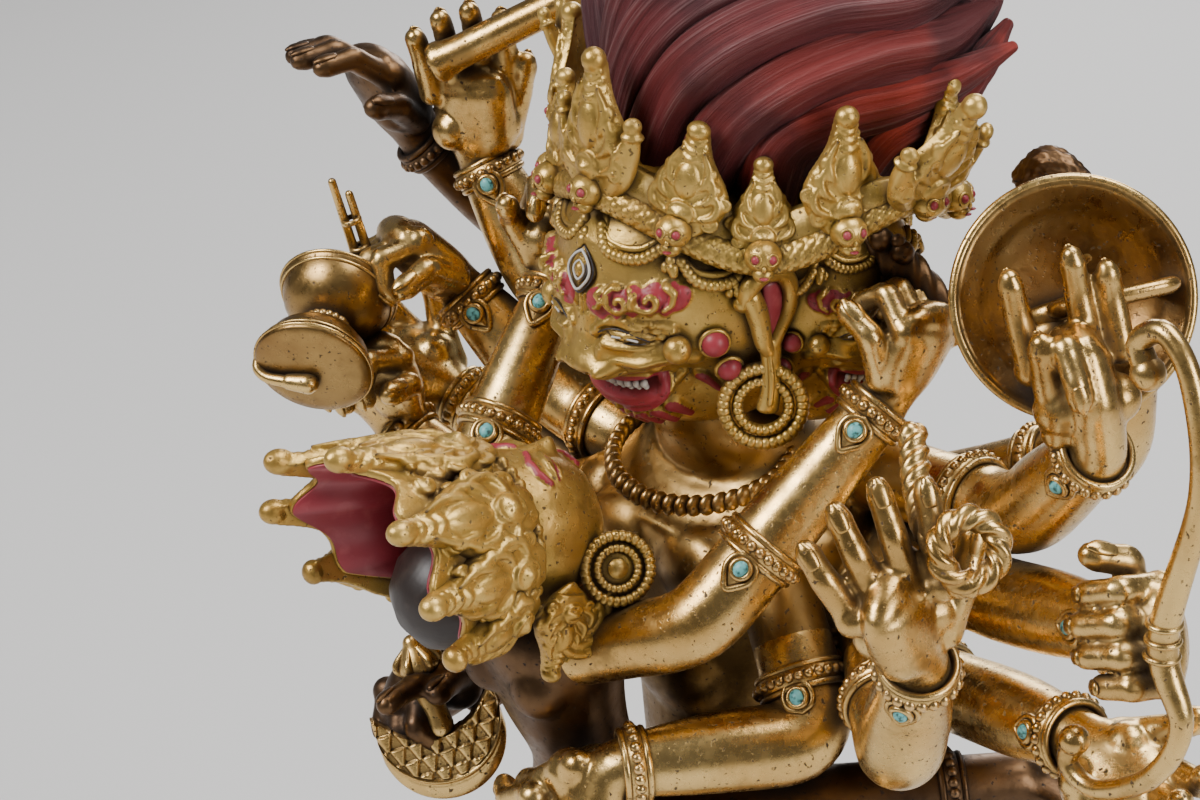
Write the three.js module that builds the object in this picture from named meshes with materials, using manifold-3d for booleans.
// A gilt bronze group: a four-faced, twelve-armed wrathful deity and his consort on a lotus plinth.
// Millimetres, +Z up. The origin is at the middle of the plinth's underside and the deity faces -Y.
import * as THREE from "three";
import { mergeVertices } from "three/addons/utils/BufferGeometryUtils.js";
import Module from "manifold-3d";

const wasm = await Module();
wasm.setup();

// Driving dimensions.
const FIGURE_HEIGHT = 250;
const UNIT = FIGURE_HEIGHT / 250;
const PLINTH_HEIGHT = 40;
const PLINTH_MARGIN = 16;
const PLINTH_DEPTH = 104;
const PETAL_WIDTH = 25;
const CLEARANCE = 0.35;
const GRIP_CLEARANCE = 0.55;
const STONE_DIAMETER = 3.2 * UNIT;
const STONE_HEIGHT = 1.5 * UNIT;
const BAND_WIDTH = 3.4 * UNIT;
const BAND_PROUD = 1.5 * UNIT;
const ARMLET_PROUD = UNIT;
const ROD_DIAMETER = 7 * UNIT;
const SHIELD_DIAMETER = 37 * UNIT;
const SHIELD_WALL = 1.8 * UNIT;
const DRUM_DIAMETER = 21 * UNIT;
const DRUM_LENGTH = 20 * UNIT;
const BOW_HEIGHT = 76 * UNIT;
const BOW_THICKNESS = 4.4 * UNIT;
const ROPE_DIAMETER = 4.6 * UNIT;
const NOOSE_DIAMETER = 13 * UNIT;
const ARROW_DIAMETER = 2.4 * UNIT;
const KNIFE_WIDTH = 22 * UNIT;
const KNIFE_THICKNESS = 4 * UNIT;
const EARRING_DIAMETER = 13.5 * UNIT;

// The pose is kept in 250ths of the figure's height, counted from the plinth's top.
const at = (x, y, z) => new THREE.Vector3(x * UNIT, y * UNIT, PLINTH_HEIGHT + z * UNIT);
const way = (x, y, z) => new THREE.Vector3(x, y, z).normalize();
const along = (point, direction, distance) => point.clone().addScaledVector(direction, distance);
const between = (a, b, share) => a.clone().lerp(b, share);
const UP = way(0, 0, 1);
const FRONT = way(0, -1, 0);
const LEFT = way(1, 0, 0);

// Finishes.
const metal = (color, roughness, metalness = 1) =>
  new THREE.MeshStandardMaterial({ color, roughness, metalness });
const GILDING = metal(0xd9a441, 0.28);
const DARK_GILDING = metal(0x7a5222, 0.42);
const COLD_GOLD = metal(0xc79a3a, 0.5);
const HAIR_PAINT = metal(0x5c2226, 0.7, 0);
const TURQUOISE = metal(0x4fb3b0, 0.45, 0);

// A closed geometry as a solid that can be joined and cut.
function solid(geometry) {
  const bare = geometry.index ? geometry.toNonIndexed() : geometry.clone();
  bare.deleteAttribute("normal");
  bare.deleteAttribute("uv");
  const merged = mergeVertices(bare, 1e-4);
  return new wasm.Manifold(
    new wasm.Mesh({
      numProp: 3,
      vertProperties: merged.attributes.position.array,
      triVerts: new Uint32Array(merged.index.array),
    }),
  );
}

const join = (solids) => solids.reduce((sum, next) => sum.add(next));
const cut = (body, tools) => (tools.length ? body.subtract(join(tools)) : body);

// The largest connected piece, so that a cut leaves no loose chips.
function main(body) {
  return body.decompose().reduce((best, next) => (next.volume() > best.volume() ? next : best));
}

function part(name, body, material) {
  const mesh = body.getMesh();
  const geometry = new THREE.BufferGeometry();
  geometry.setAttribute("position", new THREE.BufferAttribute(mesh.vertProperties, 3));
  geometry.setIndex(new THREE.BufferAttribute(mesh.triVerts, 1));
  const made = new THREE.Mesh(geometry, material);
  made.name = name;
  return made;
}

// A turned form: profile of [radius, height] pairs, stood at a point along an axis.
function turned(profile, point, axis, sides = 16) {
  const points = profile.map(([radius, height]) => new THREE.Vector2(radius, height));
  const geometry = new THREE.LatheGeometry(points, sides);
  geometry.applyQuaternion(new THREE.Quaternion().setFromUnitVectors(new THREE.Vector3(0, 1, 0), axis));
  geometry.translate(point.x, point.y, point.z);
  return solid(geometry);
}

// A ball or egg with its own half widths across, deep and high.
function egg(centre, wide, deep, high, sides = 10, rows = 6) {
  const geometry = new THREE.SphereGeometry(1, sides, rows);
  geometry.rotateX(Math.PI / 2);
  geometry.scale(wide, deep, high);
  geometry.translate(centre.x, centre.y, centre.z);
  return solid(geometry);
}

// A bar with one polygon section at each point, turned square to the bar's run. A width is a half width,
// or a pair of half width and half thickness measured along face. Round ends carry a low point.
function limb(points, widths, options = {}) {
  const { sides = 8, flat = 1, face = UP, grow = 0, startFlat = false, endFlat = false } = options;
  const count = points.length;
  const positions = [];
  const index = [];
  const widthAt = (i) => {
    const width = widths[Math.min(i, widths.length - 1)];
    const [broad, thick] = Array.isArray(width) ? width : [width, width * flat];
    return [broad * UNIT + grow, thick * UNIT + grow];
  };
  const directions = points.map((_, i) => {
    const before = i > 0 ? points[i].clone().sub(points[i - 1]).normalize() : new THREE.Vector3();
    const after = i < count - 1 ? points[i + 1].clone().sub(points[i]).normalize() : new THREE.Vector3();
    return before.add(after).normalize();
  });
  let thin = face.clone();
  directions.forEach((direction, i) => {
    thin = thin.clone().addScaledVector(direction, -thin.dot(direction)).normalize();
    const broad = direction.clone().cross(thin);
    const [width, thickness] = widthAt(i);
    for (let k = 0; k < sides; k += 1) {
      const angle = ((k + 0.5) / sides) * 2 * Math.PI;
      const p = along(points[i], thin, Math.cos(angle) * thickness);
      p.addScaledVector(broad, Math.sin(angle) * width);
      positions.push(p.x, p.y, p.z);
    }
  });
  const dome = (i, sign, isFlat) => {
    const rise = isFlat ? 0 : 0.5 * widthAt(i)[1];
    const tip = along(points[i], directions[i], sign * rise);
    positions.push(tip.x, tip.y, tip.z);
    return positions.length / 3 - 1;
  };
  const first = dome(0, -1, startFlat);
  const last = dome(count - 1, 1, endFlat);
  for (let k = 0; k < sides; k += 1) {
    const next = (k + 1) % sides;
    for (let i = 0; i < count - 1; i += 1) {
      const a = i * sides + k;
      const b = i * sides + next;
      index.push(a, b, a + sides, b, b + sides, a + sides);
    }
    index.push(first, next, k);
    index.push(last, (count - 1) * sides + k, (count - 1) * sides + next);
  }
  const geometry = new THREE.BufferGeometry();
  geometry.setAttribute("position", new THREE.Float32BufferAttribute(positions, 3));
  geometry.setIndex(index);
  return solid(geometry);
}

// A limb on a smooth curve through a few points, with its radii spread along it.
function curvedLimb(points, radii, steps, options = {}) {
  const curve = new THREE.CatmullRomCurve3(points, false, "centripetal");
  const widths = Array.from({ length: steps + 1 }, (_, i) => {
    const place = (i / steps) * (radii.length - 1);
    const low = Math.min(Math.floor(place), radii.length - 2);
    return THREE.MathUtils.lerp(radii[low], radii[low + 1], place - low);
  });
  return limb(curve.getPoints(steps), widths, options);
}

// A crown's wall: a thin upright strip, thick along its foot, cut into leaves along its top. Each column
// has its foot, the way it rises, the way it faces and its height.
function wall(columns, { closed, footThickness, footHeight, leafThickness }) {
  const positions = [];
  const index = [];
  columns.forEach(({ foot, rise, out, height }) => {
    const section = [
      [footThickness / 2, 0],
      [footThickness / 2, footHeight],
      [leafThickness / 2, height],
      [-leafThickness / 2, height],
      [-footThickness / 2, 0],
    ];
    section.forEach(([across, up]) => {
      const p = along(along(foot, out, across), rise, up);
      positions.push(p.x, p.y, p.z);
    });
  });
  const size = 5;
  const count = columns.length;
  for (let i = 0; i < (closed ? count : count - 1); i += 1) {
    for (let k = 0; k < size; k += 1) {
      const a = i * size + k;
      const b = i * size + ((k + 1) % size);
      const c = ((i + 1) % count) * size + k;
      const d = ((i + 1) % count) * size + ((k + 1) % size);
      index.push(a, c, b, b, c, d);
    }
  }
  if (!closed) {
    for (let k = 1; k < size - 1; k += 1) {
      const end = (count - 1) * size;
      index.push(0, k, k + 1, end, end + k + 1, end + k);
    }
  }
  const geometry = new THREE.BufferGeometry();
  geometry.setAttribute("position", new THREE.Float32BufferAttribute(positions, 3));
  geometry.setIndex(index);
  return solid(geometry);
}

// How high a leaf stands at each share of its width, from one valley to the next.
const LEAF_OUTLINE = [
  [-0.5, 0.22],
  [-0.3, 0.66],
  [0, 1],
  [0.3, 0.66],
];

// The three sections of a raised band on a limb: its two edges and the ridge between them.
function ridge(point, axis, radius, proud = BAND_PROUD) {
  return [
    [along(point, axis, -0.5 * BAND_WIDTH), radius],
    [point, radius + proud / UNIT],
    [along(point, axis, 0.5 * BAND_WIDTH), radius],
  ];
}

// A limb from a list of [point, width] sections.
const limbOf = (sections, options) =>
  limb(
    sections.map(([point]) => point),
    sections.map(([, width]) => width),
    options,
  );

// Heads: an egg pushed in and out by round bumps, each named by its angles round and up from the nose.
function head({ centre, facing, crown, half, bumps, columns, rows }) {
  const right = crown.clone().cross(facing).normalize();
  const positions = [];
  const index = [];
  const ring = columns * 2;
  const spread = (share) => Math.sign(share) * Math.abs(share) ** 1.5;
  const push = (round, up) => {
    let scale = 1;
    bumps.forEach(([height, atRound, atUp, wide, high]) => {
      const side = Math.abs(atRound) > 0 ? Math.abs(round) - atRound : round;
      scale += height * Math.exp(-((side / wide) ** 2) - ((up - atUp) / high) ** 2);
    });
    const flat = Math.cos(up) * scale;
    const p = centre.clone();
    p.addScaledVector(right, Math.sin(round) * flat * half[0] * UNIT);
    p.addScaledVector(facing, Math.cos(round) * flat * half[1] * UNIT);
    p.addScaledVector(crown, Math.sin(up) * scale * half[2] * UNIT);
    positions.push(p.x, p.y, p.z);
  };
  push(0, -Math.PI / 2);
  for (let j = 1; j < rows; j += 1) {
    const up = spread((2 * j) / rows - 1) * (Math.PI / 2);
    for (let i = 0; i < ring; i += 1) push(spread(i / columns - 1) * Math.PI, up);
  }
  push(0, Math.PI / 2);
  const last = positions.length / 3 - 1;
  for (let i = 0; i < ring; i += 1) {
    const next = (i + 1) % ring;
    index.push(0, 1 + next, 1 + i);
    for (let j = 0; j < rows - 2; j += 1) {
      const a = 1 + j * ring + i;
      const b = 1 + j * ring + next;
      index.push(a, b, a + ring, b, b + ring, a + ring);
    }
    index.push(last, last - ring + i, last - ring + next);
  }
  const geometry = new THREE.BufferGeometry();
  geometry.setAttribute("position", new THREE.Float32BufferAttribute(positions, 3));
  geometry.setIndex(index);
  return solid(geometry);
}

// Bumps as [height, round, up, breadth, tallness], the angles in radians.
const WRATHFUL = [
  [0.2, 0, -0.12, 0.14, 0.13],
  [0.1, 0.13, -0.16, 0.1, 0.09],
  [0.1, 0.3, 0.34, 0.22, 0.1],
  [0.08, 0, 0.5, 0.1, 0.14],
  [0.08, 0.34, 0.12, 0.14, 0.08],
  [-0.06, 0.36, 0.24, 0.2, 0.05],
  [0.08, 0.5, -0.2, 0.18, 0.16],
  [0.09, 0, -0.4, 0.3, 0.06],
  [-0.1, 0, -0.52, 0.26, 0.05],
  [0.08, 0, -0.64, 0.26, 0.07],
  [0.05, 0, -0.86, 0.26, 0.14],
];
const CALM = [
  [0.15, 0, -0.1, 0.11, 0.2],
  [0.05, 0.09, -0.2, 0.07, 0.06],
  [-0.05, 0.34, 0.14, 0.16, 0.1],
  [0.03, 0.34, 0.1, 0.12, 0.06],
  [0.03, 0.3, 0.3, 0.24, 0.05],
  [0.06, 0, -0.42, 0.16, 0.04],
  [0.06, 0, -0.52, 0.13, 0.04],
  [0.06, 0, -0.76, 0.2, 0.12],
];

// Hands. Each digit bends toward the palm at its knuckles; the numbers are degrees.
const GRIP = { curl: [62, 78, 46], fan: 2, thumb: [0, 52] };
const POINTING = { ...GRIP, index: [6, 10, 6] };
const BEARING = { curl: [4, 8, 20], fan: 3, thumb: [0, 14] };
const LOOSE = { curl: [26, 40], fan: 5, thumb: [0, 22] };
const RAISED = { curl: [18, 22], fan: 9, thumb: [0, 14] };

const HAND_LENGTH = 13.5;
const FINGERS = [14, 16, 15, 12];
const FINGER_SPACING = 3.9;
const FINGER_WIDTH = 2.1;

// The hand's own directions: reach from wrist to knuckles, the palm's normal, and across to the thumb.
function handFrame({ wrist, to, palm, side }) {
  const reach = to.clone().sub(wrist).normalize();
  const normal = palm.clone().addScaledVector(reach, -palm.dot(reach)).normalize();
  return { reach, normal, across: normal.clone().cross(reach).multiplyScalar(side) };
}

// The digits of a hand, thicker by grow all round.
function digits(arm, grow = 0) {
  const { wrist, pose, side, size = 1 } = arm;
  const { reach, normal, across } = handFrame(arm);
  const s = size * UNIT;
  const knuckles = along(wrist, reach, HAND_LENGTH * s);
  const made = FINGERS.map((length, k) => {
    const place = 1.5 - k;
    const base = along(along(knuckles, across, place * FINGER_SPACING * s), reach, -1.5 * s);
    const fan = THREE.MathUtils.degToRad(place * pose.fan * side);
    const heading = reach.clone().applyAxisAngle(normal, fan);
    const bends = k === 0 && pose.index ? pose.index : pose.curl;
    return digit(base, heading, normal, length * s, bends, FINGER_WIDTH * size, grow);
  });
  const thumbWay = reach.clone().multiplyScalar(0.72);
  thumbWay.addScaledVector(across, 0.62).addScaledVector(normal, 0.3);
  const thumbBase = along(along(wrist, reach, 3.5 * s), across, 4.4 * s);
  made.push(digit(thumbBase, thumbWay.normalize(), normal, 15 * s, pose.thumb, 2.4 * size, grow));
  return join(made);
}

// One finger of two or three bones, each bent from the last by its own angle.
function digit(base, heading, toward, length, bends, radius, grow) {
  const hinge = heading.clone().cross(toward).normalize();
  const bones = bends.length === 3 ? [0.44, 0.32, 0.24] : [0.52, 0.48];
  const points = [base];
  let direction = heading.clone();
  bones.forEach((bone, i) => {
    direction = direction.clone().applyAxisAngle(hinge, THREE.MathUtils.degToRad(bends[i]));
    points.push(along(points[i], direction, bone * length));
  });
  const radii = [radius, radius * 0.95, radius * 0.85, radius * 0.72];
  return limb(points, radii, { sides: 4, face: toward, grow });
}

// The deity's twelve arms. Each is given by where it leaves the body, its elbow, its wrist, the way the
// hand points and faces, and how the fingers are held.
const ARMS = {
  left_shield: {
    side: 1,
    root: at(24, 12, 148),
    elbow: at(57, 11, 152.5),
    wrist: at(77, 5.5, 172),
    to: at(72.4, 5.7, 184),
    palm: way(0.69, -0.58, 0.42),
    pose: GRIP,
  },
  left_bow: {
    side: 1,
    root: at(24, 14, 132.5),
    elbow: at(55, 9, 138),
    wrist: at(89, 1, 149),
    to: at(101, -6, 156),
    palm: way(-0.3, -0.9, 0.1),
    pose: GRIP,
  },
  left_low: {
    side: 1,
    root: at(24, 10, 113),
    elbow: at(52, 9, 118),
    wrist: at(80, 2, 126),
    to: at(93, 0, 123),
    palm: way(-0.1, -0.5, 0.85),
    pose: LOOSE,
  },
  left_noose: {
    side: 1,
    root: at(28, 8, 129.5),
    elbow: at(62, -19, 122.5),
    wrist: at(74, -28, 148),
    to: at(74.6, -36.5, 166),
    palm: way(-0.69, 0.58, -0.3),
    pose: RAISED,
  },
  left_embracing: {
    side: 1,
    root: at(21, -8.5, 135.5),
    elbow: at(40, -15, 114.5),
    wrist: at(23, -43, 112),
    to: at(15, -46.5, 101),
    palm: way(-0.6, 0.7, 0.3),
    pose: LOOSE,
  },
  left_raised: {
    side: 1,
    root: at(24, 20, 140),
    elbow: at(55, 33, 155),
    wrist: at(59, 31, 180),
    to: at(57, 29, 192),
    palm: way(-0.5, -0.8, 0.1),
    pose: GRIP,
  },
  right_rod: {
    side: -1,
    root: at(-24, 12, 149),
    elbow: at(-58.2, 10.1, 154.1),
    wrist: at(-72, 5.5, 176.5),
    to: at(-72.4, 1.3, 200.5),
    palm: way(0.69, -0.63, -0.29),
    pose: BEARING,
  },
  right_arrow: {
    side: -1,
    root: at(-24, 12, 131),
    elbow: at(-53, 8, 135),
    wrist: at(-70, -1, 153),
    to: at(-77, -10, 164),
    palm: way(-0.2, -0.9, -0.4),
    pose: GRIP,
  },
  right_low: {
    side: -1,
    root: at(-24, 10, 113),
    elbow: at(-52, 9, 121),
    wrist: at(-75, 1, 130),
    to: at(-86, -5, 135),
    palm: way(0.1, -0.5, 0.85),
    pose: LOOSE,
  },
  right_drum: {
    side: -1,
    root: at(-26, 2.5, 130),
    elbow: at(-50, -9, 117),
    wrist: at(-72, -15, 129.5),
    to: at(-75, -18.5, 143),
    palm: way(0.1, -0.95, 0.1),
    pose: GRIP,
  },
  right_knife: {
    side: -1,
    root: at(-21, -7, 134),
    elbow: at(-33, -10, 96),
    wrist: at(-34.5, -28, 98),
    to: at(-33.5, -40, 101),
    palm: way(0.5, 0.1, -0.8),
    pose: POINTING,
  },
  right_raised: {
    side: -1,
    root: at(-24, 24, 139),
    elbow: at(-75, 25, 153),
    wrist: at(-87, 2, 178.5),
    to: at(-90, -4, 189.5),
    palm: way(-0.2, -0.9, -0.3),
    pose: LOOSE,
  },
};
const JOINT_SHARE = 0.45;
const DEITY_ARM = { upper: 6.6, elbow: 6.8, fore: 6.7, wrist: 5.1, size: 1, armlet: 0.68, bracelet: 0.92 };

// A separately cast arm meets its stub at the joint, on the straight from root to elbow.
const jointOf = ({ root, elbow }) => between(root, elbow, JOINT_SHARE);
const stub = (arm) => limb([arm.root, jointOf(arm)], [DEITY_ARM.upper], { sides: 6, endFlat: true });

// An arm and its hand in one run, from the knuckles back to where it starts.
function armSolid(arm, start, build = DEITY_ARM) {
  const { root, elbow, wrist } = arm;
  const { reach, normal } = handFrame(arm);
  const upper = elbow.clone().sub(root).normalize();
  const fore = wrist.clone().sub(elbow).normalize();
  const s = build.size * UNIT;
  const sections = [
    [along(wrist, reach, HAND_LENGTH * s), [7.7 * build.size, 4.2 * build.size]],
    [along(wrist, reach, 5 * s), [7 * build.size, 4.2 * build.size]],
    [wrist, [build.wrist, 0.85 * build.wrist]],
    ...ridge(between(elbow, wrist, build.bracelet), fore, build.wrist).reverse(),
    [between(elbow, wrist, 0.55), build.fore],
    ...(build.armletOnForearm ? ridge(between(elbow, wrist, build.armlet), fore, build.fore).reverse() : []),
    [along(elbow, fore, 4 * UNIT), build.elbow],
    [along(elbow, upper, -4 * UNIT), build.elbow],
    ...(build.armletOnForearm
      ? []
      : ridge(between(root, elbow, build.armlet), upper, build.upper, ARMLET_PROUD).reverse()),
    [start, build.upper],
  ];
  const bare = limbOf(sections, { sides: 6, face: normal, startFlat: true, endFlat: true });
  return bare.add(digits({ ...arm, size: build.size }));
}

// Turquoise stones sit beside the bracelets and armlets, facing the front left.
const STONE_VIEW = way(0.55, -0.75, 0.35);

function stone(start, end, share, radius) {
  const axis = end.clone().sub(start).normalize();
  const out = STONE_VIEW.clone().addScaledVector(axis, -STONE_VIEW.dot(axis)).normalize();
  const foot = along(between(start, end, share), out, radius * UNIT + CLEARANCE);
  const half = STONE_DIAMETER / 2;
  const profile = [
    [0, 0],
    [half, 0],
    [0.8 * half, STONE_HEIGHT - 0.4],
    [0, STONE_HEIGHT],
  ];
  return turned(profile, foot, out, 6);
}

// The lotus plinth: a long oval with a row of petals up and a row down, cut flat below.
const FOOT_SPREAD = 44 * UNIT;
const PLINTH_HALF_LENGTH = FOOT_SPREAD + PLINTH_MARGIN;
const PLINTH_HALF_DEPTH = PLINTH_DEPTH / 2;

function oval(shareOut, height, sides) {
  return Array.from({ length: sides }, (_, i) => {
    const angle = (i / sides) * 2 * Math.PI;
    return new THREE.Vector3(
      Math.cos(angle) * (PLINTH_HALF_LENGTH + shareOut),
      Math.sin(angle) * (PLINTH_HALF_DEPTH + shareOut),
      height,
    );
  });
}

// Petals are one wave of the oval's edge: full at mid petal and pinched in between.
function plinth() {
  const petals = 2 * Math.round((Math.PI * (PLINTH_HALF_LENGTH + PLINTH_HALF_DEPTH)) / PETAL_WIDTH / 2);
  const sides = petals * 3;
  const levels = [
    [0, 0, 0],
    [0.1, 0, 0],
    [0.32, 3.4, 0.9],
    [0.5, -5, 0.2],
    [0.72, 2.4, 0.9],
    [0.9, -2, 0.9],
    [0.9, -5.5, 0],
    [1, -5.5, 0],
  ];
  const rings = levels.map(([height, out, pinch]) =>
    oval(out, height * PLINTH_HEIGHT, sides).map((p, i) => {
      const wave = i % 3 === 0 ? 0 : 1;
      const inward = pinch * 2.6 * (1 - wave);
      const radius = Math.hypot(p.x, p.y);
      return new THREE.Vector3(p.x * (1 - inward / radius), p.y * (1 - inward / radius), p.z);
    }),
  );
  const positions = [0, 0, 0];
  rings.flat().forEach((p) => positions.push(p.x, p.y, p.z));
  positions.push(0, 0, PLINTH_HEIGHT);
  const last = positions.length / 3 - 1;
  const index = [];
  for (let k = 0; k < sides; k += 1) {
    const next = (k + 1) % sides;
    index.push(0, 1 + next, 1 + k);
    for (let j = 0; j < rings.length - 1; j += 1) {
      const a = 1 + j * sides + k;
      const b = 1 + j * sides + next;
      index.push(a, b, a + sides, b, b + sides, a + sides);
    }
    index.push(last, last - sides + k, last - sides + next);
  }
  const geometry = new THREE.BufferGeometry();
  geometry.setAttribute("position", new THREE.Float32BufferAttribute(positions, 3));
  geometry.setIndex(index);
  return solid(geometry);
}

// The deity's body: torso, skirt, lunging legs, stubs for the twelve arms, four heads, crown and hair.
const SOLE = CLEARANCE / UNIT + 2.6;

function legSolid({ hip, knee, ankle, heel, toes }, [thigh, kneeWidth, calf, ankleWidth]) {
  const shin = ankle.clone().sub(knee).normalize();
  const sections = [
    [hip, thigh],
    [between(hip, knee, 0.5), 0.92 * thigh],
    [knee, kneeWidth],
    [between(knee, ankle, 0.35), calf],
    ...ridge(along(ankle, shin, -5 * UNIT), shin, ankleWidth),
    [ankle, ankleWidth],
  ];
  return limbOf(sections, { sides: 7, face: LEFT }).add(
    limb([heel, between(heel, toes, 0.5), toes], [0.75 * ankleWidth, ankleWidth, 0.95 * ankleWidth], {
      sides: 6,
      flat: 0.56,
    }),
  );
}

const DEITY_LEGS = [
  {
    hip: at(11, 4, 74),
    knee: at(34, -4, 48),
    ankle: at(44, 6, 9),
    heel: at(44, 11, SOLE),
    toes: at(46, -14, SOLE),
  },
  {
    hip: at(-11, 4, 74),
    knee: at(-32, -10, 44),
    ankle: at(-38, 8, 9),
    heel: at(-38, 13, SOLE),
    toes: at(-42, -12, SOLE),
  },
];

const HEADS = [
  {
    centre: at(0, -5, 182),
    facing: way(0, -0.94, -0.34),
    crown: way(0, -0.34, 0.94),
    half: [22, 25.5, 26.5],
    columns: 10,
    rows: 13,
  },
  {
    centre: at(13, 6, 178),
    facing: way(0.98, 0, -0.2),
    crown: way(0.2, 0, 0.98),
    half: [16.5, 17, 22],
    columns: 6,
    rows: 10,
  },
  {
    centre: at(-13, 6, 178),
    facing: way(-0.98, 0, -0.2),
    crown: way(-0.2, 0, 0.98),
    half: [16.5, 17, 22],
    columns: 6,
    rows: 10,
  },
  {
    centre: at(0, 16, 178),
    facing: way(0, 0.98, -0.2),
    crown: way(0, 0.2, 0.98),
    half: [16.5, 16, 21],
    columns: 6,
    rows: 8,
  },
];

// The crown dips between the faces. Its leaves crowd toward the side faces, and those over them lean out.
const CROWN_LEAVES = 16;
const CROWN_HALF_WIDTH = 32.6;
const CROWN_LEAF_HEIGHT = 22;
const CROWDING = 5.5;
const SIDE_LEAN = 29;
const INWARD_LEAN = 12;

function crown() {
  const columns = [];
  for (let k = 0; k < CROWN_LEAVES; k += 1) {
    LEAF_OUTLINE.forEach(([share, high]) => {
      const even = ((k + share) / CROWN_LEAVES) * 2 * Math.PI;
      const angle = even + THREE.MathUtils.degToRad(CROWDING) * Math.sin(2 * even);
      const wave = Math.cos(4 * even);
      const sideways = -Math.cos(2 * even);
      const out = way(Math.sin(angle), -Math.cos(angle), 0);
      const tilt = SIDE_LEAN * Math.max(0, sideways) ** 5 - INWARD_LEAN * Math.sin(2 * even) ** 2;
      const lean = THREE.MathUtils.degToRad(tilt);
      const radius = CROWN_HALF_WIDTH + 1.5 * wave + 1.6 * sideways;
      columns.push({
        foot: at(out.x * radius, 5 + out.y * radius, 194.8 + 3.9 * wave + 0.8 * sideways),
        rise: UP.clone().multiplyScalar(Math.cos(lean)).addScaledVector(out, Math.sin(lean)),
        out,
        height: (CROWN_LEAF_HEIGHT + 3 * wave) * high * UNIT + 3 * (1 - high),
      });
    });
  }
  return wall(columns, { closed: true, footThickness: 4.6, footHeight: 4.2, leafThickness: 1.6 });
}

// Flame hair: a mound inside the crown and locks sweeping up from it. Each row is a tip and a width.
const LOCKS = [
  [0, 34, 250, 11],
  [-13, 21, 246, 10.5],
  [13, 25, 247, 10.5],
  [24, 31, 238, 10],
  [34, 30, 220, 7],
  [-24, 30, 238, 10],
  [-34, 28, 222, 7],
  [0, 46, 236, 10],
  [0, 8, 243, 11],
  [0, -13, 237, 9.5],
];

function hair() {
  const pieces = [egg(at(0, 9, 206), 27 * UNIT, 27 * UNIT, 22 * UNIT, 10, 6)];
  LOCKS.forEach(([x, y, z, width]) => {
    const tip = at(x, y, z);
    const root = at(0.45 * x, 8 + 0.45 * (y - 8), 206);
    const bulge = at(0.85 * x, 8 + 0.8 * (y - 8), 206 + 0.55 * (z - 206));
    const radii = [width, width, 0.72 * width, 1];
    pieces.push(curvedLimb([root, bulge, tip], radii, 3, { sides: 5, face: FRONT }));
  });
  return join(pieces);
}

// Earrings are flat turned discs hung at the ears.
const disc = (centre, facing, diameter, thickness) =>
  turned(
    [
      [0, -thickness / 2],
      [diameter / 2, -thickness / 2],
      [diameter / 2, 0.3 * thickness],
      [0.8 * (diameter / 2), thickness / 2],
      [0, thickness / 2],
    ],
    centre,
    facing,
    12,
  );

const bothSides = (make) => [make(1), make(-1)];

function deityBody() {
  const torso = limb(
    [
      at(0, 4, 72),
      at(0, 3, 80),
      at(0, 2, 96),
      at(0, 1, 108),
      at(0, 2, 126),
      at(0, 3, 140),
      at(0, 0, 150),
      at(0, -5, 156),
      at(0, -6, 166),
    ],
    [15, 17, 14, 17, 24, 27, 16, 10, 10],
    { sides: 10, flat: 0.72, face: FRONT },
  );
  const skirt = limb([at(0, 4, 62), at(0, 4, 72), at(0, 3, 84)], [19, 21, 17], {
    sides: 12,
    flat: 0.75,
    face: FRONT,
  });
  const necklace = new THREE.TorusGeometry(15.5 * UNIT, 2.3 * UNIT, 4, 16);
  necklace.rotateX(THREE.MathUtils.degToRad(14));
  necklace.translate(0, -5 * UNIT, at(0, 0, 148.5).z);
  const body = join([
    torso,
    skirt,
    solid(necklace),
    ...bothSides((side) =>
      limb([at(22 * side, -9, 191), at(24 * side, -10, 182), at(22 * side, -12, 171)], [2, 3, 2], {
        sides: 6,
        face: LEFT,
      }),
    ),
    ...bothSides((side) => disc(at(22 * side, -12, 167), way(0.7 * side, -0.7, 0), EARRING_DIAMETER, 3)),
    ...DEITY_LEGS.map((leg) => legSolid(leg, [12, 9.4, 8.6, 5.4])),
    ...Object.values(ARMS).map(stub),
    ...HEADS.map((face) => head({ ...face, bumps: WRATHFUL })),
    crown(),
    hair(),
  ]);
  return body;
}

// The consort leans back in the embrace with her face turned up, one leg round the deity's waist.
const CONSORT_FACING = way(0, 0.36, 0.93);
const CONSORT_CROWN = way(0, -0.93, 0.36);
const CONSORT_ARMS = {
  right: {
    side: -1,
    root: at(10, -40, 127),
    elbow: at(29, -32, 136),
    wrist: at(38.5, -1, 170.5),
    to: at(42, 3.5, 182),
    palm: way(-0.75, -0.6, 0.1),
    pose: GRIP,
  },
  left: {
    side: 1,
    root: at(-10, -40, 127),
    elbow: at(-28, -33, 137),
    wrist: at(-37, -6, 167),
    to: at(-40, -1, 178),
    palm: way(0.75, -0.6, 0.1),
    pose: GRIP,
  },
};
const CONSORT_BUILD = {
  upper: 6,
  elbow: 6.4,
  fore: 6.2,
  wrist: 4.7,
  size: 0.9,
  armlet: 0.34,
  bracelet: 0.93,
  armletOnForearm: true,
};
const CONSORT_STANDING_LEG = {
  hip: at(-8, -29, 80),
  knee: at(-24, -36, 48),
  ankle: at(-29, -29, 9),
  heel: at(-29, -25, SOLE),
  toes: at(-32, -44, SOLE),
};

// Her crown's leaves by the angle round from the brow, their length and their lean outward in degrees.
const CONSORT_LEAVES = [
  { angle: -120, length: 14, lean: 34 },
  { angle: -80, length: 21, lean: 14 },
  { angle: -40, length: 30, lean: 12 },
  { angle: 0, length: 30, lean: 8 },
  { angle: 40, length: 30, lean: 12 },
  { angle: 80, length: 21, lean: 14 },
  { angle: 120, length: 14, lean: 34 },
];
const CONSORT_LEAF_STEP = 40;

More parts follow.
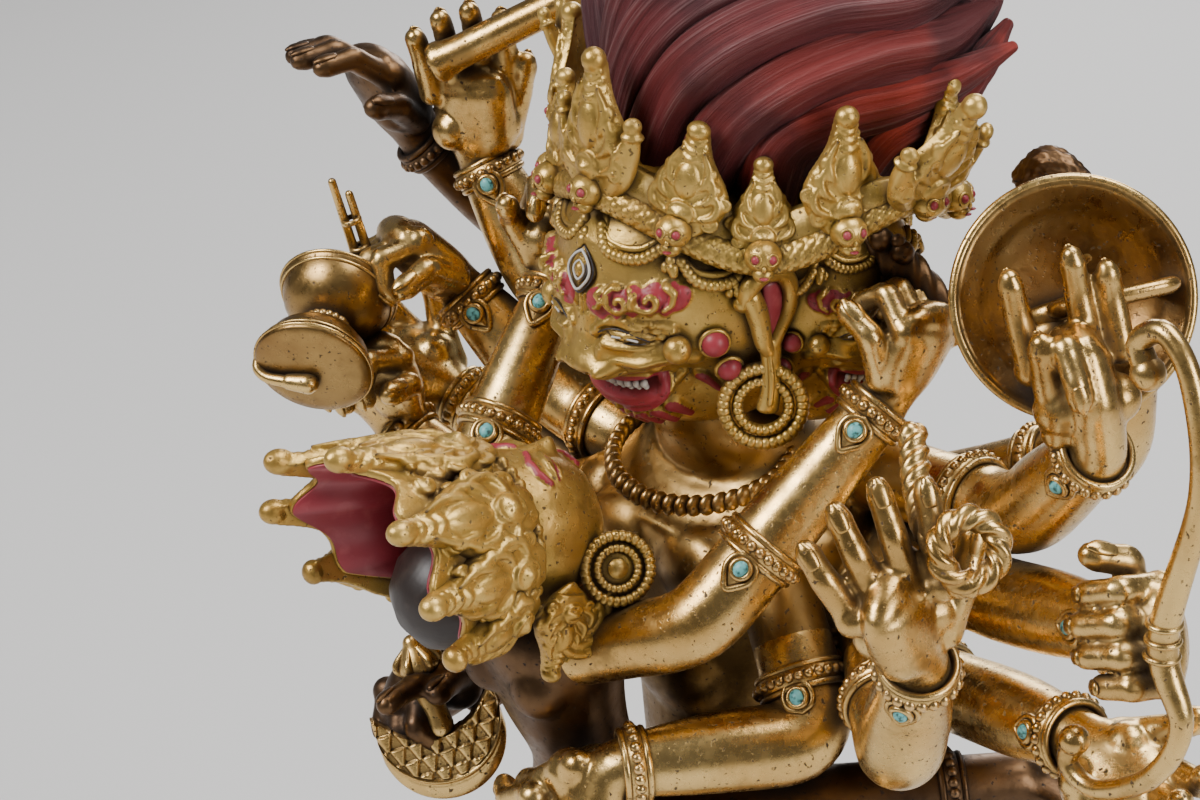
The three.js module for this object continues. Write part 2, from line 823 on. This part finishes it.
function consortCrown() {
  const axis = way(0, -0.99, 0.1);
  const front = way(0, 0.1, 0.99);
  const centre = at(0, -54, 147.5);
  const columns = CONSORT_LEAVES.flatMap(({ angle, length, lean }) =>
    LEAF_OUTLINE.map(([share, high]) => {
      const turn = THREE.MathUtils.degToRad(angle + share * CONSORT_LEAF_STEP);
      const tilt = THREE.MathUtils.degToRad(lean);
      const out = front.clone().multiplyScalar(Math.cos(turn)).addScaledVector(LEFT, Math.sin(turn));
      return {
        foot: along(centre, out, 14 * UNIT),
        rise: axis.clone().multiplyScalar(Math.cos(tilt)).addScaledVector(out, Math.sin(tilt)),
        out,
        height: length * Math.max(high, 0.3) * UNIT,
      };
    }),
  );
  return wall(columns, { closed: false, footThickness: 4, footHeight: 3.4, leafThickness: 1.8 });
}

function consort() {
  return join([
    limb(
      [
        at(0, -28, 76),
        at(0, -28, 86),
        at(0, -31, 100),
        at(0, -36, 114),
        at(0, -39, 127),
        at(0, -40, 134),
        at(0, -41, 140),
      ],
      [12, 14, 10.5, 12.5, 15, 10, 6.5],
      { sides: 8, flat: 0.75, face: FRONT },
    ),
    head({
      centre: at(0, -45, 146.5),
      facing: CONSORT_FACING,
      crown: CONSORT_CROWN,
      half: [13.5, 13, 14.5],
      bumps: CALM,
      columns: 8,
      rows: 11,
    }),
    egg(at(0, -60, 139), 11 * UNIT, 13 * UNIT, 12 * UNIT, 10, 6),
    consortCrown(),
    ...bothSides((side) => disc(at(15.5 * side, -37, 143), way(0.8 * side, -0.45, 0.35), 12, 3)),
    ...Object.values(CONSORT_ARMS).map((arm) => armSolid(arm, arm.root, CONSORT_BUILD)),
    limb([at(8, -29, 84), at(26, -22, 94), at(37, -12, 98), at(56, 15, 102)], [9.5, 8.6, 7.6, 5]),
    limb([at(55, 14, 102), at(61, 19, 101), at(66, 19, 99)], [4.4, 4.6, 4], { sides: 6, flat: 0.6 }),
    legSolid(CONSORT_STANDING_LEG, [10, 7.6, 7, 4.6]),
  ]);
}

// Held things. Each has its own builder, taking how much thicker to make it, so that a hand can be cut
// back round a copy grown by the clearance. Their places are heights above the ground, as seen.
const seen = (x, y, z) => new THREE.Vector3(x * UNIT, y * UNIT, z * UNIT + PLINTH_HEIGHT - 40 * UNIT);
const VIEW = way(0.694, -0.583, 0.423);
const VIEW_RIGHT = way(0.643, 0.766, 0);
const VIEW_UP = VIEW.clone().cross(VIEW_RIGHT);

const rod = (grow = 0) =>
  limb([seen(-72, -4.9, 236.9), seen(-46, 14.9, 255.5)], [ROD_DIAMETER / 2 / UNIT], {
    sides: 8,
    grow,
    startFlat: true,
  });

// A palm drum: two cups meeting at a waist, with a striker laid over the lower skin.
const DRUM_CENTRE = seen(-74, -29, 192);
const DRUM_AXIS = way(0.578, -0.728, -0.367);

function drum(grow = 0) {
  const half = DRUM_LENGTH / 2 + grow;
  const radius = DRUM_DIAMETER / 2 + grow;
  const waist = 0.27 * DRUM_DIAMETER + grow;
  const body = turned(
    [
      [0, -half],
      [radius, -half],
      [radius, -0.8 * half],
      [waist, 0],
      [radius, 0.8 * half],
      [radius, half],
      [0, half],
    ],
    DRUM_CENTRE,
    DRUM_AXIS,
    14,
  );
  const across = VIEW_RIGHT.clone().addScaledVector(DRUM_AXIS, -VIEW_RIGHT.dot(DRUM_AXIS)).normalize();
  const skin = along(DRUM_CENTRE, DRUM_AXIS, DRUM_LENGTH / 2);
  const striker = limb(
    [
      along(along(skin, across, 0.45 * DRUM_DIAMETER), DRUM_AXIS, -1),
      along(along(skin, across, 0.36 * DRUM_DIAMETER), DRUM_AXIS, 1.2),
      along(skin, DRUM_AXIS, 1.4),
      along(along(skin, across, -0.14 * DRUM_DIAMETER), DRUM_AXIS, 1.4),
    ],
    [1.2, 1.3, 2.1, 1.6],
    { sides: 5, grow },
  );
  return body.add(striker);
}

// Two short arrow shafts pinched in the fingers.
const arrow = (grow = 0) =>
  limb([seen(-78.4, -15.5, 197), seen(-80.6, -20.5, 215)], [ARROW_DIAMETER / 2 / UNIT], { sides: 6, grow });

// The flaying knife: a thunderbolt grip and a crescent blade with hooked horns.
const KNIFE_TOP = seen(-31.4, -43.5, 151.6);
const KNIFE_FOOT = seen(-25.8, -41.9, 136.8);
const KNIFE_AXIS = KNIFE_FOOT.clone().sub(KNIFE_TOP).normalize();

function knife(grow = 0) {
  const half = KNIFE_WIDTH / 2;
  const thickness = KNIFE_THICKNESS + 2 * grow;
  const crescent = [
    [-half, -0.36 * half],
    [-0.62 * half, 0.1 * half],
    [0, 0.04 * half],
    [0.62 * half, 0.1 * half],
    [half, -0.36 * half],
    [0.94 * half, 0.42 * half],
    [0.5 * half, 0.98 * half],
    [0, 1.16 * half],
    [-0.5 * half, 0.98 * half],
    [-0.94 * half, 0.42 * half],
  ];
  const outward = (x, y) => {
    const below = y > 0.3 * half;
    const hollow = !below && Math.abs(x) < 0.7 * half;
    return new THREE.Vector2(x + Math.sign(x) * (hollow ? -grow : grow), y + (below ? grow : -grow));
  };
  const shape = new THREE.Shape(crescent.map(([x, y]) => outward(x, y)));
  const geometry = new THREE.ExtrudeGeometry(shape, { depth: thickness, bevelEnabled: false });
  geometry.translate(0, 0, -thickness / 2);
  const flat = VIEW.clone().addScaledVector(KNIFE_AXIS, -VIEW.dot(KNIFE_AXIS)).normalize();
  const across = KNIFE_AXIS.clone().cross(flat);
  geometry.applyMatrix4(new THREE.Matrix4().makeBasis(across, KNIFE_AXIS, flat));
  geometry.translate(KNIFE_FOOT.x, KNIFE_FOOT.y, KNIFE_FOOT.z);
  const grip = limb(
    [
      KNIFE_TOP,
      along(KNIFE_TOP, KNIFE_AXIS, 3.5),
      along(KNIFE_TOP, KNIFE_AXIS, 6),
      along(KNIFE_FOOT, KNIFE_AXIS, -2),
      along(KNIFE_FOOT, KNIFE_AXIS, 2),
    ],
    [1.6, 4.2, 2.4, 2.4, 3.4],
    { sides: 6, grow },
  );
  return grip.add(solid(geometry));
}

// The skull-bowl shield: a thin dish facing the front left, with a bar across it for the hand.
const SHIELD_CENTRE = seen(64.3, 11.7, 232.3);

function shield(grow = 0) {
  const radius = SHIELD_DIAMETER / 2;
  const depth = 0.2 * SHIELD_DIAMETER;
  const bowl = turned(
    [
      [0, -depth - grow],
      [0.62 * radius + grow, -0.72 * depth - grow],
      [radius + grow, -0.1 * depth - grow],
      [radius + grow, 1.2 + grow],
      [radius - SHIELD_WALL - grow, 1.2 + grow],
      [0.58 * radius - grow, -0.72 * depth + SHIELD_WALL + grow],
      [0, SHIELD_WALL - depth + grow],
    ],
    SHIELD_CENTRE,
    VIEW,
    20,
  );
  const barWay = VIEW_RIGHT.clone().multiplyScalar(0.977).addScaledVector(VIEW_UP, 0.217);
  const middle = along(SHIELD_CENTRE, VIEW_RIGHT, 0.16 * radius * 2);
  const bar = limb(
    [
      along(along(middle, barWay, -8), VIEW, -3),
      along(along(middle, barWay, -7), VIEW, 7.5),
      along(along(middle, barWay, 7), VIEW, 7.5),
      along(along(middle, barWay, 8), VIEW, -2),
    ],
    [1.5],
    { sides: 5, grow },
  );
  return bowl.add(bar);
}

// The bow bends out toward the front and curls back at both tips.
const BOW_MIDDLE = seen(96, -11.5, 207);

function bow(grow = 0) {
  const run = [
    [0.045, 0.42],
    [0.02, 0.475],
    [0.08, 0.51],
    [0.15, 0.43],
    [0.19, 0.22],
    [0.13, -0.1],
    [0.19, -0.26],
    [0.13, -0.4],
    [0, -0.49],
    [-0.08, -0.47],
    [-0.07, -0.41],
  ];
  const points = run.map(([across, up]) => {
    return along(along(BOW_MIDDLE, LEFT, across * BOW_HEIGHT), UP, up * BOW_HEIGHT);
  });
  return curvedLimb(points, [1.7, BOW_THICKNESS / 2, BOW_THICKNESS / 2, 1.7], 16, { sides: 5, grow });
}

// The noose: a rope that ends in a ring.
function noose(grow = 0) {
  const radius = ROPE_DIAMETER / 2;
  const rope = curvedLimb(
    [seen(62, -19, 218), seen(67, -23, 214), seen(73, -27, 210.6), seen(80.3, -31.2, 210.3)],
    [radius / UNIT, radius / UNIT],
    4,
    { sides: 5, grow },
  );
  const ring = new THREE.TorusGeometry((NOOSE_DIAMETER - ROPE_DIAMETER) / 2, radius + grow, 5, 12);
  ring.applyQuaternion(new THREE.Quaternion().setFromUnitVectors(new THREE.Vector3(0, 0, 1), VIEW));
  const place = seen(83, -28.4, 210.5);
  ring.translate(place.x, place.y, place.z);
  return rope.add(solid(ring));
}

// A baton whose top curls over, seen behind the shield.
const hookedBaton = (grow = 0) =>
  curvedLimb(
    [seen(58, 29, 226), seen(57, 28, 234), seen(53.5, 26, 242), seen(47.5, 24, 246.5), seen(42, 23.5, 241)],
    [2.2, 2.4, 2.6, 2.8, 2.2],
    6,
    { sides: 6, grow },
  );

// The consort's short carved baton.
const consortBaton = (grow = 0) =>
  limb([seen(29, 4.5, 233), seen(33, 6.2, 229.6), seen(40, 9, 223.5)], [2.6, 3.8, 3], { sides: 7, grow });

const HELD = {
  rod: { make: rod, finish: GILDING },
  arrow: { make: arrow, finish: GILDING },
  drum: { make: drum, finish: GILDING },
  knife: { make: knife, finish: DARK_GILDING },
  shield: { make: shield, finish: GILDING },
  bow: { make: bow, finish: GILDING },
  noose: { make: noose, finish: DARK_GILDING },
  hooked_baton: { make: hookedBaton, finish: DARK_GILDING },
};

// Where each stone sits: on the forearm below the bracelet, or by the armlet.
const onForearm = ({ elbow, wrist }, share = 0.84) => stone(elbow, wrist, share, 5.8);
const STONES = {
  left_shield: onForearm(ARMS.left_shield),
  left_bow: onForearm(ARMS.left_bow),
  left_low: onForearm(ARMS.left_low),
  left_noose: onForearm(ARMS.left_noose),
  left_embracing: stone(ARMS.left_embracing.root, ARMS.left_embracing.elbow, 0.8, 6.8),
  right_rod: onForearm(ARMS.right_rod),
  right_arrow: onForearm(ARMS.right_arrow),
  consort_right_armlet: stone(CONSORT_ARMS.right.elbow, CONSORT_ARMS.right.wrist, 0.26, 6.4),
  consort_right_bracelet: onForearm(CONSORT_ARMS.right, 0.85),
  consort_left_armlet: stone(CONSORT_ARMS.left.elbow, CONSORT_ARMS.left.wrist, 0.26, 6.4),
  consort_left_bracelet: onForearm(CONSORT_ARMS.left, 0.85),
};

const group = new THREE.Group();
group.add(part("plinth", plinth(), DARK_GILDING));
group.add(part("deity_body", main(deityBody()), COLD_GOLD));
group.add(part("consort", main(cut(consort(), [consortBaton(GRIP_CLEARANCE)])), COLD_GOLD));
group.add(part("consort_baton", consortBaton(), DARK_GILDING));
const clearedHeld = Object.values(HELD).map(({ make }) => make(GRIP_CLEARANCE));
Object.entries(ARMS).forEach(([name, arm]) => {
  const upper = arm.elbow.clone().sub(arm.root).normalize();
  const start = along(jointOf(arm), upper, CLEARANCE);
  group.add(part(`arm_${name}`, main(cut(armSolid(arm, start), clearedHeld)), GILDING));
});
Object.entries(HELD).forEach(([name, { make, finish }]) => group.add(part(name, main(make()), finish)));
Object.entries(STONES).forEach(([name, body]) => group.add(part(`stone_${name}`, body, TURQUOISE)));

export default group;
